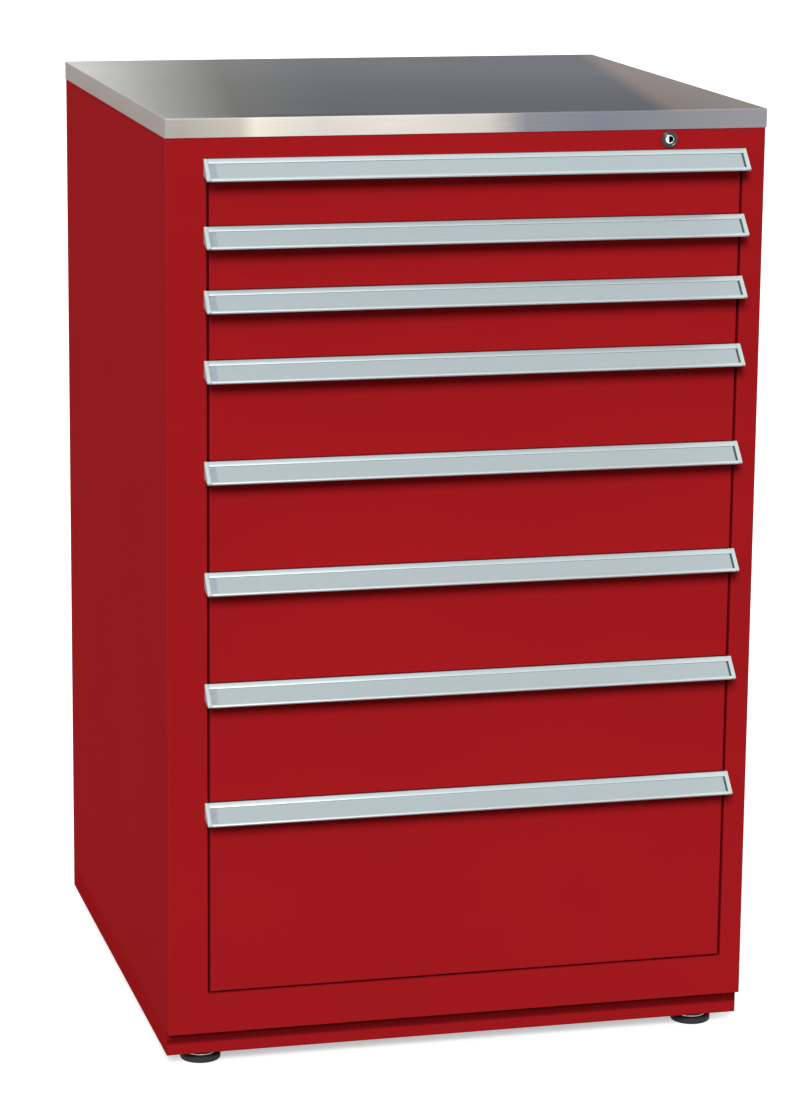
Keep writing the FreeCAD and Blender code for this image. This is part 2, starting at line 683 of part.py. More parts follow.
def drawers():
    """All drawers, from the top one down, each with its front, pull, end caps and carriages."""
    pieces = []
    for number in range(1, DRAWERS + 1):
        carriages = [
            carriage("left_carriage_%d" % number, number, "slide_left", "+"),
            carriage("right_carriage_%d" % number, number, "slide_right", "-"),
        ]
        pieces += [tray(number), drawer_front(number), handle(number), end_caps(number),
                   group("drawer_%d_carriages" % number, carriages)]
    return pieces


def lock():
    """The cylinder lock in the header: body, turning plug, cam with its pin, and spring clip."""
    ring = rod("lock_ring", "ring_diameter / 2", "ring_high", "lock_x", "front_y - ring_high", "lock_z", "y")
    barrel = rod("lock_barrel", "barrel_diameter / 2", "barrel_long", "lock_x", "front_y", "lock_z", "y")
    bore = rod("lock_bore", "plug_diameter / 2", "barrel_long + ring_high",
               "lock_x", "front_y - ring_high", "lock_z", "y")
    clip_y = "front_y + body_sheet"
    band = rod("groove_band", "barrel_diameter / 2", "clip_thick + groove_slack",
               "lock_x", clip_y, "lock_z", "y")
    core = rod("groove_core", "groove_diameter / 2", "clip_thick + groove_slack",
               "lock_x", clip_y, "lock_z", "y")
    body = trim("lock_body", join("lock_shell", [ring, barrel]), [trim("groove", band, [core]), bore])
    plate = block("clip_plate", ("lock_x - clip_wide / 2", "lock_x + clip_wide / 2"),
                  (clip_y, clip_y + " + clip_thick"), ("lock_z - clip_high / 2", "lock_z + clip_high / 2"))
    throat = block("clip_throat", ("lock_x - groove_diameter / 2", "lock_x + groove_diameter / 2"),
                   (clip_y, clip_y + " + clip_thick"), ("lock_z - clip_high / 2", "lock_z"))
    arch = rod("clip_arch", "groove_diameter / 2", "clip_thick", "lock_x", clip_y, "lock_z", "y")
    clip = trim("lock_clip", plate, [throat, arch])
    core_plug = rod("plug_core", "plug_diameter / 2 - plug_slack", "barrel_long + ring_high",
                    "lock_x", "front_y - ring_high", "lock_z", "y")
    keyway = block("keyway", ("lock_x - key_wide / 2", "lock_x + key_wide / 2"),
                   ("front_y - ring_high", "front_y - ring_high + key_deep"),
                   ("lock_z - key_high / 2", "lock_z + key_high / 2"))
    plug = trim("lock_plug", core_plug, [keyway])
    cam = join("lock_cam", [
        rod("cam_plate", "cam_diameter / 2", "cam_thick", "lock_x", "barrel_back", "lock_z", "y"),
        rod("cam_pin", "pin_diameter / 2", "bar_front + bar_thick + bar_side - barrel_back", "pin_x",
            "barrel_back", "arm_z", "y"),
    ])
    return [body, clip, plug, cam]


def lock_bar():
    """The bar that the cam lifts, with one finger for each drawer, and the guides it slides in."""
    arm_high = ("arm_z - slot_half - bar_rim", "arm_z + slot_half + bar_rim")
    arm_thick = ("bar_front", "bar_front + bar_thick")
    slot_end = "lock_x - cam_throw - slot_half"
    arm = block("bar_arm", (slot_end + " - bar_rim", "bar_left"), arm_thick, arm_high)
    slot = block("bar_slot", (slot_end, "pin_x + slot_half"), arm_thick,
                 ("arm_z - slot_half", "arm_z + slot_half"))
    pieces = [
        block("bar_strip", ("bar_left", "bar_left + bar_thick"), ("bar_front", "bar_back"),
              ("floor_z + bar_foot", arm_high[1])),
        trim("bar_slotted_arm", arm, [slot]),
    ]
    for number in range(1, DRAWERS + 1):
        top = "%s - catch_clear" % catch_z(number)
        pieces.append(block("bar_finger_%d" % number, ("tray_right + finger_tip", "bar_left"),
                            ("bar_front", "finger_back"), (top + " - finger_high", top)))
    guides = []
    for number in (1, DRAWERS):
        name = "bar_guide_%d" % number
        room_left = "bar_left - bar_play"
        room_right = "bar_left + bar_thick + bar_play"
        room_front = "bar_front - bar_play"
        level = (slide_z(number), slide_z(number) + " + guide_high")
        outer = block(name + "_shell", (room_left, room_right + " + guide_sheet"),
                      (room_front + " - guide_sheet", "post_front"), level)
        inner = block(name + "_room", (room_left, room_right), (room_front, "post_front"), level)
        guides.append(trim(name, outer, [inner]))
    return [group("lock_bar", pieces), group("lock_bar_guides", guides)]


def check(piece):
    """Stop if a piece failed to build."""
    if piece.Shape.isNull() or not piece.Shape.isValid() or not piece.Shape.Solids:
        raise RuntimeError("no sound solid in " + piece.Name)


def main():
    """Build every piece, test it and write it to its own file."""
    pieces = housing() + worktop() + plinth() + feet() + uprights() + fixed_slides()
    pieces += drawers() + lock() + lock_bar()
    doc.recompute()
    for thing in doc.Objects:
        if "Invalid" in thing.State or "Error" in thing.State:
            raise RuntimeError("%s failed: %s" % (thing.Name, thing.State))
    os.makedirs("parts", exist_ok=True)
    for piece in pieces:
        piece.Label = piece.Name
        check(piece)
        piece.Shape.exportStep("parts/%s.step" % piece.Label)
    print(len(pieces), "pieces,", sum(len(piece.Shape.Solids) for piece in pieces), "solids")


main()
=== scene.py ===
import math
import bmesh
import bpy
from mathutils import Matrix, Vector


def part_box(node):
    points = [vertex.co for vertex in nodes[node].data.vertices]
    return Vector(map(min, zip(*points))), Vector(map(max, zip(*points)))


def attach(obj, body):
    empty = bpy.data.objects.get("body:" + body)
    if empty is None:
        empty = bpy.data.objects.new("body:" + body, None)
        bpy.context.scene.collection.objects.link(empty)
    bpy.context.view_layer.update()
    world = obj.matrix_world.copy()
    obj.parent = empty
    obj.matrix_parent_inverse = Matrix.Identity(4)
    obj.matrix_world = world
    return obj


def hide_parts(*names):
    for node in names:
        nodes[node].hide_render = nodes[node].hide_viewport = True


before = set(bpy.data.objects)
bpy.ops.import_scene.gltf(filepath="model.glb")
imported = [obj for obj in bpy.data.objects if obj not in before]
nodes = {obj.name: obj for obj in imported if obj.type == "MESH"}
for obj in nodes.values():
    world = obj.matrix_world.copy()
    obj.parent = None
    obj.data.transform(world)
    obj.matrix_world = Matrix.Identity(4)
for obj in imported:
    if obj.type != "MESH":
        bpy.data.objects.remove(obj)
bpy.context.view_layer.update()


# Housing: side panels folded round the front into the stiles, back, floor with its sill, header
# and the pan under the top. They are 1.5 mm sheet steel, folded and welded into one shell, ground
# flush at the joints and baked in one red powder coat.
HOUSING_RED = (0.360, 0.0103, 0.0132)
PEEL_FINENESS = 420.0
PEEL_ROUGHNESS = 0.45
PEEL_HEIGHT = 0.16
PEEL_DEPTH = 0.0005
GRIT_SHARE = 0.25


def linked(material, kind, **values):
    """A shader node with some of its settings and sockets filled in."""
    node = material.node_tree.nodes.new(kind)
    for name, value in values.items():
        if hasattr(node, name):
            setattr(node, name, value)
        else:
            node.inputs[name.replace("_", " ").title()].default_value = value
    return node


def join_up(material, *wires):
    """Wires between sockets of a material's nodes."""
    for start, end in wires:
        material.node_tree.links.new(start, end)


def finish_of(name, colour, metallic, roughness, specular=0.5):
    """A material with its shader, ready for its pattern, which reads Object coordinates."""
    material = bpy.data.materials.new(name)
    material.use_nodes = True
    shader = material.node_tree.nodes["Principled BSDF"]
    shader.inputs["Base Color"].default_value = (*colour, 1)
    shader.inputs["Metallic"].default_value = metallic
    shader.inputs["Roughness"].default_value = roughness
    shader.inputs["Specular IOR Level"].default_value = specular
    place = linked(material, "ShaderNodeTexCoord")
    return material, shader, place.outputs["Object"]


def noise_on(material, place, fineness, detail, roughness=0.5):
    """A noise laid on the surface, as an output to wire on."""
    noise = linked(material, "ShaderNodeTexNoise", Scale=fineness, Detail=detail, Roughness=roughness)
    join_up(material, (place, noise.inputs["Vector"]))
    return noise.outputs[0]


def two_tones(material, shader, pattern, colour, darker, lighter, low=0.3, high=0.7):
    """Let a pattern move the colour between a darker and a lighter share of itself."""
    tone = linked(material, "ShaderNodeValToRGB")
    for stop, position, share in ((0, low, darker), (1, high, lighter)):
        tone.color_ramp.elements[stop].position = position
        tone.color_ramp.elements[stop].color = (*[share * part for part in colour], 1)
    join_up(material, (pattern, tone.inputs["Fac"]), (tone.outputs[0], shader.inputs["Base Color"]))


def uneven_gloss(material, shader, pattern, smoothest, roughest):
    """Let a pattern move the roughness between two values."""
    spread = linked(material, "ShaderNodeMapRange", To_Min=smoothest, To_Max=roughest)
    join_up(material, (pattern, spread.inputs["Value"]),
            (spread.outputs[0], shader.inputs["Roughness"]))


def relief(material, shader, pattern, strength, depth):
    """Raise a pattern from the surface."""
    bump = linked(material, "ShaderNodeBump", Strength=strength, Distance=depth)
    join_up(material, (pattern, bump.inputs["Height"]), (bump.outputs[0], shader.inputs["Normal"]))


def powder_coat(name, colour, roughness, specular, glaze):
    """Baked powder: orange peel with fine grit on it, and a slightly uneven depth of colour."""
    material, shader, place = finish_of(name, colour, metallic=0.0, roughness=roughness,
                                        specular=specular)
    shader.inputs["Coat Weight"].default_value = glaze
    shader.inputs["Coat Roughness"].default_value = 0.3
    peel = noise_on(material, place, PEEL_FINENESS, detail=2.0, roughness=PEEL_ROUGHNESS)
    grit = noise_on(material, place, 2600.0, detail=1.0)
    cloud = noise_on(material, place, 3.2, detail=2.0)
    bumps = linked(material, "ShaderNodeMath", operation="MULTIPLY_ADD")
    bumps.inputs[1].default_value = GRIT_SHARE
    join_up(material, (grit, bumps.inputs[0]), (peel, bumps.inputs[2]))
    relief(material, shader, bumps.outputs[0], PEEL_HEIGHT, PEEL_DEPTH)
    two_tones(material, shader, cloud, colour, darker=0.97, lighter=1.03)
    uneven_gloss(material, shader, peel, roughness - 0.05, roughness + 0.06)
    return material


def dress(material, *names):
    """Give CAD nodes their finish."""
    for name in names:
        nodes[name].data.materials.clear()
        nodes[name].data.materials.append(material)


red_powder = powder_coat("red_powder_coat", HOUSING_RED, roughness=0.46, specular=0.0, glaze=0.012)
dress(red_powder, "left_side_panel", "right_side_panel", "back_panel", "floor_pan", "top_pan",
      "header_rail")


# Rivets: pop rivets that hold the back panel to the flanges of the side panels. They have a low
# domed head with the dimple of the pulled mandrel, and are coated over with the panel.
RIVET_RADIUS = 0.0042
RIVET_SUNK = 0.0003
RIVET_RIM = 0.0003
RIVET_SIDES = 20
# Each ring of the head: how much narrower and how much higher than the last one.
RIVET_STEPS = ((0.0008, 0.00025), (0.0012, 0.00015), (0.0007, 0.0), (0.0002, -0.0003))
RIVET_ROWS = 9
RIVET_MARGIN = 0.045
RIVET_IN = 0.011


def take(piece):
    """Select one piece and nothing else."""
    bpy.ops.object.select_all(action="DESELECT")
    bpy.context.view_layer.objects.active = piece
    piece.select_set(True)


def settle(piece):
    """Move a piece's place, turn and scale into its mesh."""
    take(piece)
    bpy.ops.object.transform_apply(location=True, rotation=True, scale=True)


def another(piece, name, shift=(0, 0, 0)):
    """A copy of a finished piece with a mesh of its own, moved to its place."""
    twin = bpy.data.objects.new(name, piece.data.copy())
    twin.data.name = name
    twin.data.transform(Matrix.Translation(Vector(shift)))
    bpy.context.scene.collection.objects.link(twin)
    return twin


def weld_into_one(pieces, name):
    """Join like pieces into one object."""
    bpy.ops.object.select_all(action="DESELECT")
    for piece in pieces:
        piece.select_set(True)
    bpy.context.view_layer.objects.active = pieces[0]
    bpy.ops.object.join()
    whole = bpy.context.object
    whole.name = name
    whole.data.name = name
    return whole


def hang(piece, material, body, slot, *stands_for):
    """Give a finished piece its material and its body, and hide the CAD nodes it stands for. The slot
    is not used.
    """
    piece.data.materials.clear()
    piece.data.materials.append(material)
    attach(piece, body)
    if stands_for:
        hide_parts(*stands_for)


def smooth(piece, degrees=35):
    """Shade a piece smooth, with its sharp edges kept."""
    take(piece)
    bpy.ops.object.shade_smooth_by_angle(angle=math.radians(degrees))


back_low, back_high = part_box("back_panel")
rivet_x = back_high.x - RIVET_IN
row_low = back_low.z + RIVET_MARGIN
row_step = (back_high.z - RIVET_MARGIN - row_low) / (RIVET_ROWS - 1)
bpy.ops.object.select_all(action="DESELECT")
bpy.ops.mesh.primitive_circle_add(
    vertices=RIVET_SIDES, radius=RIVET_RADIUS, fill_type="NGON",
    location=(rivet_x, back_high.y - RIVET_SUNK, row_low), rotation=(-math.pi / 2, 0, 0))
rivet = bpy.context.object
settle(rivet)
bpy.ops.object.mode_set(mode="EDIT")
bpy.ops.mesh.select_all(action="SELECT")
bpy.ops.mesh.extrude_region_move(
    TRANSFORM_OT_translate={"value": (0, RIVET_SUNK + RIVET_RIM, 0)})
for narrower, higher in RIVET_STEPS:
    bpy.ops.mesh.inset(thickness=narrower, depth=higher)
bpy.ops.object.mode_set(mode="OBJECT")
smooth(rivet, 50)
rivets = []
for row in range(RIVET_ROWS):
    for across in (0, -2 * rivet_x):
        rivets.append(another(rivet, "rivet", (across, 0, row * row_step)))
bpy.data.objects.remove(rivet)
back_rivets = weld_into_one(rivets, "back_rivets")
hang(back_rivets, red_powder, "cabinet", "red_paint")


# Plinth: a ring folded from 2 mm sheet, with a wide bottom flange that the feet screw through. It
# is welded up, coated red like the housing and bolted under it. Its front is set back, and there a
# band of painted shade darkens the red in the corner under the housing.
PLINTH_EASE = 0.0009
# Painted shade on the plinth's front: height over the floor, and the share of the full colour there.
SHADE_BAND_TONES = ((0.0305, 1.0), (0.0335, 0.50), (0.0375, 0.50), (0.0400, 0.8))
TOUCH = 0.0001
WELD_GAP = 0.000002
FLAT_WITHIN = 0.5


def clean_copy(node, name):
    """A copy of a CAD node with its facets merged."""
    piece = bpy.data.objects.new(name, nodes[node].data.copy())
    piece.data.name = name
    bpy.context.scene.collection.objects.link(piece)
    take(piece)
    bpy.ops.object.mode_set(mode="EDIT")
    bpy.ops.mesh.select_all(action="SELECT")
    bpy.ops.mesh.remove_doubles(threshold=WELD_GAP)
    bpy.ops.mesh.dissolve_limited(angle_limit=math.radians(FLAT_WITHIN))
    bpy.ops.object.mode_set(mode="OBJECT")
    return piece


def pick_edges(piece, wanted):
    """Start editing a piece, and select its edges whose middle and direction are wanted."""
    take(piece)
    bpy.ops.object.mode_set(mode="EDIT")
    bpy.ops.mesh.select_mode(type="EDGE")
    bpy.ops.mesh.select_all(action="DESELECT")
    mesh = bmesh.from_edit_mesh(piece.data)
    for edge in mesh.edges:
        start, end = (corner.co for corner in edge.verts)
        if wanted((start + end) / 2, (end - start).normalized()):
            edge.select_set(True)
    bmesh.update_edit_mesh(piece.data)


def tones_along(material, distance, tones):
    """A colour that changes along a distance in metres, given as places and colours."""
    start, end = tones[0][0], tones[-1][0]
    reach = linked(material, "ShaderNodeMapRange", From_Min=start, From_Max=end)
    ramp = linked(material, "ShaderNodeValToRGB")
    stops = ramp.color_ramp.elements
    while len(stops) < len(tones):
        stops.new(0.5)
    for stop, (far, colour) in zip(stops, tones):
        stop.position = (far - start) / (end - start)
        stop.color = (*colour, 1)
    join_up(material, (distance, reach.inputs["Value"]), (reach.outputs[0], ramp.inputs["Fac"]))
    return ramp.outputs[0]


def blend_of(material, share, first, second):
    """A mix of two colours, the second one where the share is 1."""
    mix = linked(material, "ShaderNodeMix", data_type="RGBA")
    join_up(material, (share, mix.inputs[0]), (first, mix.inputs[6]), (second, mix.inputs[7]))
    return mix.outputs[2]


def plain(material, colour):
    """One colour, as an output to wire on."""
    flat = linked(material, "ShaderNodeRGB")
    flat.outputs[0].default_value = (*colour, 1)
    return flat.outputs[0]


def along(material, place, direction):
    """How far a place or a normal reaches in a direction."""
    reach = linked(material, "ShaderNodeVectorMath", operation="DOT_PRODUCT")
    reach.inputs[1].default_value = direction
    join_up(material, (place, reach.inputs[0]))
    return reach.outputs["Value"]


def normal_of(material):
    """The direction in which the surface faces, in the piece's own axes."""
    return linked(material, "ShaderNodeTexCoord").outputs["Normal"]


def past(material, value, limit):
    """One where a value is past a limit, and zero elsewhere."""
    test = linked(material, "ShaderNodeMath", operation="GREATER_THAN")
    test.inputs[1].default_value = limit
    join_up(material, (value, test.inputs[0]))
    return test.outputs[0]


plinth_low, plinth_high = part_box("base_frame")
plinth_frame = clean_copy("base_frame", "plinth_frame")
pick_edges(plinth_frame, lambda middle, way: (
    middle.z < plinth_low.z + TOUCH
    and (abs(middle.y - plinth_low.y) < TOUCH or abs(abs(middle.x) - plinth_high.x) < TOUCH)))
bpy.ops.mesh.bevel(offset=PLINTH_EASE, segments=2, affect="EDGES")
bpy.ops.object.mode_set(mode="OBJECT")
smooth(plinth_frame)

plinth_red, shader, place = finish_of(
    "plinth_powder_coat", HOUSING_RED, metallic=0.0, roughness=0.48, specular=0.0)
# Painted shade: the front faces get the darker band under the housing, the other faces keep the plain
# red.
painted_shade_band = tones_along(
    plinth_red, along(plinth_red, place, (0, 0, 1)),
    [(height, [share * part for part in HOUSING_RED]) for height, share in SHADE_BAND_TONES])
on_front = past(plinth_red, along(plinth_red, normal_of(plinth_red), (0, -1, 0)), 0.7)
coat = blend_of(plinth_red, on_front, plain(plinth_red, HOUSING_RED), painted_shade_band)
join_up(plinth_red, (coat, shader.inputs["Base Color"]))
plinth_peel = noise_on(plinth_red, place, PEEL_FINENESS, detail=2.0, roughness=PEEL_ROUGHNESS)
uneven_gloss(plinth_red, shader, plinth_peel, smoothest=0.42, roughest=0.54)
relief(plinth_red, shader, plinth_peel, PEEL_HEIGHT, PEEL_DEPTH)
hang(plinth_frame, plinth_red, "cabinet", "red_paint", "base_frame")


# Levelling feet: a moulded rubber pad, a zinc plated steel disc with its threaded stud, a lock nut
# under the plinth's flange and a nut on it. They screw up and down to level the cabinet.
PAD_EASE = 0.0006
DISC_EASE = 0.0007
NUT_EASE = 0.0007
RUBBER_BLACK = (0.018, 0.018, 0.017)
ZINC = (0.60, 0.61, 0.60)


def ease_edges(piece, ease, segments=2, sharp=30):
    """Round the sharp edges of a piece a little, as a fold, a mould or a file leaves them."""
    bevel = piece.modifiers.new("eased_edges", "BEVEL")
    bevel.width = ease
    bevel.segments = segments
    bevel.limit_method = "ANGLE"
    bevel.angle_limit = math.radians(sharp)
    take(piece)
    bpy.ops.object.modifier_apply(modifier=bevel.name)
    smooth(piece)


def eased_copy(node, name, ease, segments=2):
    """A copy of a CAD node with its facets merged and its sharp edges eased."""
    piece = clean_copy(node, name)
    ease_edges(piece, ease, segments)
    return piece


def cells_on(material, place, fineness):
    """A patchwork of cells laid on the surface, each with a tone of its own."""
    cells = linked(material, "ShaderNodeTexVoronoi", Scale=fineness)
    join_up(material, (place, cells.inputs["Vector"]))
    return cells.outputs["Color"]


def drawn_out(material, place, scale):
    """Places on the surface squeezed along one axis, so that a pattern on them runs along it."""
    mapping = linked(material, "ShaderNodeMapping", Scale=scale)
    join_up(material, (place, mapping.inputs["Vector"]))
    return mapping.outputs[0]


rubber, shader, place = finish_of(
    "foot_rubber", RUBBER_BLACK, metallic=0.0, roughness=0.72, specular=0.3)
moulding = noise_on(rubber, place, 900.0, detail=3.0)
relief(rubber, shader, moulding, strength=0.35, depth=0.0004)
two_tones(rubber, shader, moulding, RUBBER_BLACK, darker=0.7, lighter=1.7)

zinc, shader, place = finish_of("zinc_plate", ZINC, metallic=1.0, roughness=0.34)
spangle = cells_on(zinc, place, 160.0)
haze = noise_on(zinc, place, 34.0, detail=4.0)
scratches = noise_on(zinc, drawn_out(zinc, place, (1.0, 0.12, 1.0)), 1400.0, detail=2.0)
two_tones(zinc, shader, spangle, ZINC, darker=0.86, lighter=1.06, low=0.1, high=0.9)
uneven_gloss(zinc, shader, haze, smoothest=0.24, roughest=0.46)
relief(zinc, shader, scratches, strength=0.08, depth=0.0002)

hang(eased_copy("foot_pads", "rubber_pads", PAD_EASE), rubber, "cabinet", "foot_rubber", "foot_pads")
hang(eased_copy("foot_studs", "disc_studs", DISC_EASE), zinc, "cabinet", "zinc_steel", "foot_studs")
hang(eased_copy("foot_nuts", "hex_nuts", NUT_EASE), zinc, "cabinet", "zinc_steel", "foot_nuts")


# Drawer slides: slotted posts inside the side panels carry the fixed channels, in which the long
# carriages run out with the drawers. All are zinc plated steel, folded or rolled.
DRAWERS = range(1, 9)

dress(zinc, "slide_posts", "slide_channels")
for number in DRAWERS:
    dress(zinc, "drawer_%d_carriages" % number)


# Drawers: trays folded from 1.2 mm sheet with hemmed rims and rows of slots for partitions, coated
# light grey, each behind a red front folded like a shallow box.
TRAY_GREY = (0.36, 0.37, 0.37)

grey_powder = powder_coat("grey_powder_coat", TRAY_GREY, roughness=0.45, specular=0.25, glaze=0.05)
for number in DRAWERS:
    dress(grey_powder, "drawer_%d_tray" % number)
    dress(red_powder, "drawer_%d_front" % number)


# Pulls: one aluminium extrusion along each drawer front, satin anodised after it is brushed along
# its length. Its sloping face has a groove under two lips, into which the label slides.
PULL_EASE = 0.0003
PULL_METAL = (0.51, 0.59, 0.60)

pull_low, pull_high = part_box("drawer_1_handle")


def on_each_drawer(first, part, material, slot, cad_part=None):
    """Hang copies of the top drawer's piece on all drawers, each at its own height."""
    for number in DRAWERS:
        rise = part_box("drawer_%d_handle" % number)[1].z - pull_high.z
        stands_for = ["drawer_%d_%s" % (number, cad_part)] if cad_part else []
        hang(another(first, "drawer_%d_%s" % (number, part), (0, 0, rise)), material,
             "drawer_%d" % number, slot, *stands_for)
    bpy.data.objects.remove(first)


aluminium, shader, place = finish_of(
    "anodised_aluminium", PULL_METAL, metallic=0.55, roughness=0.42)
lines = noise_on(aluminium, drawn_out(aluminium, place, (0.006, 1.0, 1.0)), 2200.0, detail=3.0,
                 roughness=0.6)
two_tones(aluminium, shader, lines, PULL_METAL, darker=0.955, lighter=1.035)
uneven_gloss(aluminium, shader, lines, smoothest=0.34, roughest=0.5)
relief(aluminium, shader, lines, strength=0.1, depth=0.0001)

pull = eased_copy("drawer_1_handle", "pull_1", PULL_EASE)
on_each_drawer(pull, "pull", aluminium, "anodised_aluminium", "handle")


# End caps: moulded plates that close both ends of a pull and cover the drawer's corners. They are
# pale plastic with a fine spark texture, and clip into the extrusion.
CAP_EASE = 0.0008
CAP_GREY = (0.52, 0.62, 0.61)

cap_plastic, shader, place = finish_of(
    "cap_plastic", CAP_GREY, metallic=0.0, roughness=0.42, specular=0.35)
spark = noise_on(cap_plastic, place, 1800.0, detail=2.0)
two_tones(cap_plastic, shader, spark, CAP_GREY, darker=0.97, lighter=1.02)
relief(cap_plastic, shader, spark, strength=0.15, depth=0.0002)

caps = eased_copy("drawer_1_end_caps", "caps_1", CAP_EASE, segments=3)
on_each_drawer(caps, "caps", cap_plastic, "cap_plastic", "end_caps")


# Labels: a paper strip in a clear sleeve, half a millimetre thick, that lies in the groove of each
# pull. The paper is cut short, so the sleeve's left end is empty and shows the metal behind it,
# coloured darker than the metal in part as painted shade in the groove. A small dark strip in the
# groove's right end is painted shade where the label ends.
FACE_SLOPE = math.radians(45)
LIP_HIGH = 0.0026
FLANGE = 0.002
FACE_RISE = 0.0034
FACE_WALL = 0.0016
STRIP_THICK = 0.0005
STRIP_TOP = -0.0024
STRIP_FOOT = -0.0268
STRIP_SPANS = 24
STRIP_EASE = 0.00012
LABEL_SHORT = 0.0085
END_SHADE_LONG = 0.0024
STOP_END = 0.0004
LABEL_GREY = (0.398, 0.467, 0.483)
SLEEVE_AND_SHADE_GREY = (0.33, 0.375, 0.43)
END_SHADE_GREY = (0.055, 0.075, 0.078)


def groove_strip(left, right):
    """A thin flat strip in the groove of the first pull, between two places along it."""
    halfway = (STRIP_TOP + STRIP_FOOT) / 2
    across = math.cos(FACE_SLOPE)
    upwards = math.sin(FACE_SLOPE)
    middle = Vector((
        (left + right) / 2,
        pull_high.y - FLANGE + halfway * across - FACE_WALL * upwards,
        pull_high.z - LIP_HIGH - FACE_RISE * across + halfway * upwards + FACE_WALL * across,
    ))
    bpy.ops.object.select_all(action="DESELECT")
    bpy.ops.mesh.primitive_grid_add(
        x_subdivisions=STRIP_SPANS, y_subdivisions=3, size=1, location=middle,
        rotation=(FACE_SLOPE, 0, 0))
    strip = bpy.context.object
    strip.scale = (right - left, STRIP_TOP - STRIP_FOOT, 1)
    settle(strip)
    sheet = strip.modifiers.new("sheet", "SOLIDIFY")
    sheet.thickness = STRIP_THICK
    sheet.offset = 1
    bpy.ops.object.modifier_apply(modifier=sheet.name)
    ease_edges(strip, STRIP_EASE, segments=1, sharp=60)
    return strip


label_card, shader, place = finish_of(
    "label_card", LABEL_GREY, metallic=0.0, roughness=0.38, specular=0.3)
fibres = noise_on(label_card, place, 480.0, detail=5.0)
two_tones(label_card, shader, fibres, LABEL_GREY, darker=0.97, lighter=1.03)
uneven_gloss(label_card, shader, fibres, smoothest=0.3, roughest=0.46)
relief(label_card, shader, fibres, strength=0.05, depth=0.0003)

# Painted shade: a dark strip at the groove's right end, where the label ends.
painted_end_shade, shader, place = finish_of(
    "painted_end_shade", END_SHADE_GREY, metallic=0.0, roughness=0.6, specular=0.2)
specks = noise_on(painted_end_shade, place, 1500.0, detail=2.0)
two_tones(painted_end_shade, shader, specks, END_SHADE_GREY, darker=0.85, lighter=1.15)

# The empty sleeve end: clear plastic over metal, coloured darker in part as painted shade in the
# groove.
sleeve_with_painted_shade, shader, place = finish_of(
    "sleeve_with_painted_shade", SLEEVE_AND_SHADE_GREY, metallic=0.0, roughness=0.3, specular=0.4)
streaks = noise_on(sleeve_with_painted_shade, place, 240.0, detail=3.0)
two_tones(sleeve_with_painted_shade, shader, streaks, SLEEVE_AND_SHADE_GREY, darker=0.9, lighter=1.1)

groove_left = pull_low.x + STOP_END
label_left = pull_low.x + LABEL_SHORT
end_shade_left = pull_high.x - STOP_END - END_SHADE_LONG
groove_right = pull_high.x - STOP_END
on_each_drawer(groove_strip(groove_left, label_left), "sleeve_end", sleeve_with_painted_shade, "cap_plastic")
on_each_drawer(groove_strip(label_left, end_shade_left), "label", label_card, "cap_plastic")
on_each_drawer(groove_strip(end_shade_left, groove_right), "label_end_shade", painted_end_shade, "cap_plastic")


# Lock: a round cylinder lock set through the header. The case is dark plated with a raised rim, a
# spring clip holds it from behind, and the bright plug turns in it with the key.
CASE_EASE = 0.0005
CASE_RIM = 0.0013
CASE_DISH = 0.0007
PLUG_EASE = 0.00035
DARK_PLATE = (0.055, 0.062, 0.060)
NICKEL = (0.72, 0.72, 0.70)


def pick_faces(piece, wanted):
    """Start editing a piece, and select its faces whose middle and normal are wanted."""
    take(piece)
    bpy.ops.object.mode_set(mode="EDIT")
    bpy.ops.mesh.select_mode(type="FACE")
    bpy.ops.mesh.select_all(action="DESELECT")
    mesh = bmesh.from_edit_mesh(piece.data)
    for face in mesh.faces:
        if wanted(face.calc_center_median(), face.normal):
            face.select_set(True)
    bmesh.update_edit_mesh(piece.data)


def plating(name, colour, smoothest, roughest):
    """A plated metal with faint cloudy wear."""
    material, shader, place = finish_of(name, colour, metallic=1.0, roughness=smoothest)
    wear = noise_on(material, place, 260.0, detail=4.0)
    two_tones(material, shader, wear, colour, darker=0.9, lighter=1.08)
    uneven_gloss(material, shader, wear, smoothest, roughest)
    return material


dark_plate = plating("dark_plate", DARK_PLATE, smoothest=0.22, roughest=0.4)
case_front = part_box("lock_body")[0].y
lock_case = eased_copy("lock_body", "lock_case", CASE_EASE)
pick_faces(lock_case, lambda middle, way: way.y < -0.99 and middle.y < case_front + 2 * TOUCH)
bpy.ops.mesh.inset(thickness=CASE_RIM, depth=0)
bpy.ops.mesh.inset(thickness=CASE_DISH / 2, depth=-CASE_DISH)
bpy.ops.object.mode_set(mode="OBJECT")
smooth(lock_case)
hang(lock_case, dark_plate, "cabinet", "lock_chrome", "lock_body")

nickel = plating("bright_nickel", NICKEL, smoothest=0.14, roughest=0.3)
lock_core = eased_copy("lock_plug", "lock_core", PLUG_EASE)
hang(lock_core, nickel, "lock_plug", "lock_chrome", "lock_plug")
dress(zinc, "lock_cam", "lock_clip", "lock_bar", "lock_bar_guides")


# Worktop: a cap of 1.2 mm brushed stainless steel, folded down on all four sides over a board. The
# flaps meet at the corners in a thin open seam. It lies on the housing and is held from below.
SKIN = 0.0012
FOLD_ROUND = 0.0022
SEAM_CUT = 0.0006
STEEL_GREY = (0.3, 0.3, 0.3)
REFLECTION_LEAN = -0.16
# Painted reflections on the top from left to right, each at a place along a line that leans a little.
TOP_PAINTED_REFLECTIONS = (
    (-0.50, (0.80, 0.80, 0.76)),
    (-0.38, (0.43, 0.43, 0.41)),
    (-0.29, (0.235, 0.238, 0.230)),
    (-0.16, (0.188, 0.192, 0.204)),
    (0.235, (0.182, 0.185, 0.200)),
    (0.262, (0.31, 0.270, 0.262)),
    (0.38, (0.34, 0.310, 0.290)),
)
